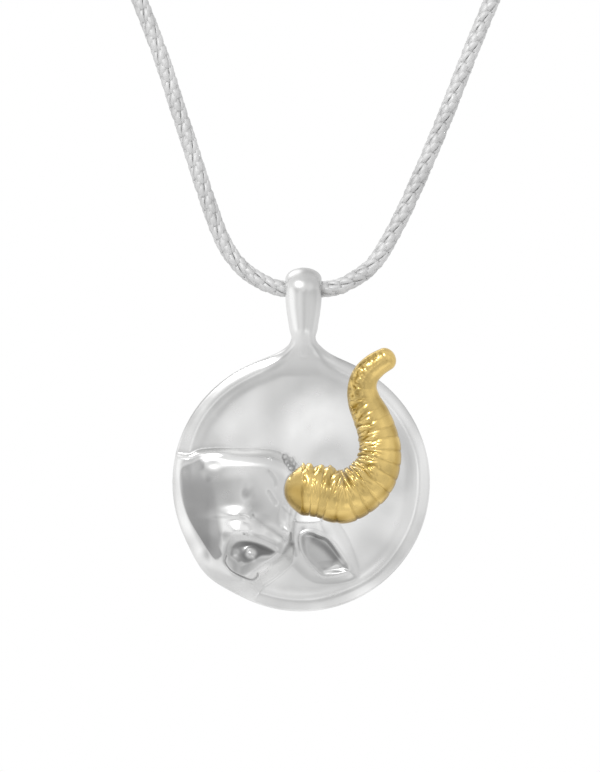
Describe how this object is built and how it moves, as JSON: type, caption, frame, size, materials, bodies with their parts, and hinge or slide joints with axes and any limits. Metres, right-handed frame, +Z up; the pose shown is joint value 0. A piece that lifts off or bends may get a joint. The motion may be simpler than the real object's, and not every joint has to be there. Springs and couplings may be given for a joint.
{
  "type": "zodiac pendant",
  "caption": "Round silver zodiac pendant with a horned animal's head in high relief and one ribbed gold horn, hung by its bail on a twisted chain.",
  "frame": {"origin": "middle of the clasp at the nape, where the necklace hangs on the neck", "axes": "+X to the right of the front view, +Y to the back, +Z up; the pendant's face looks along -Y"},
  "size_m": [0.116, 0.1243, 0.2013],
  "materials": {
    "medallion": "polished silver",
    "horn": "polished yellow gold",
    "chain": "bright silver links",
    "clasp": "polished silver"
  },
  "bodies": {
    "necklace": {"chain": "chain", "clasp": "clasp"},
    "pendant": {"medallion": "medallion", "horn": "horn"}
  },
  "joints": [
    {"name": "pendant_swing", "type": "hinge", "parent": "necklace", "child": "pendant", "pos_m": [-0.001, -0.118, -0.172], "axis": [1, 0, 0], "range_deg": [-90, 90]}
  ]
}
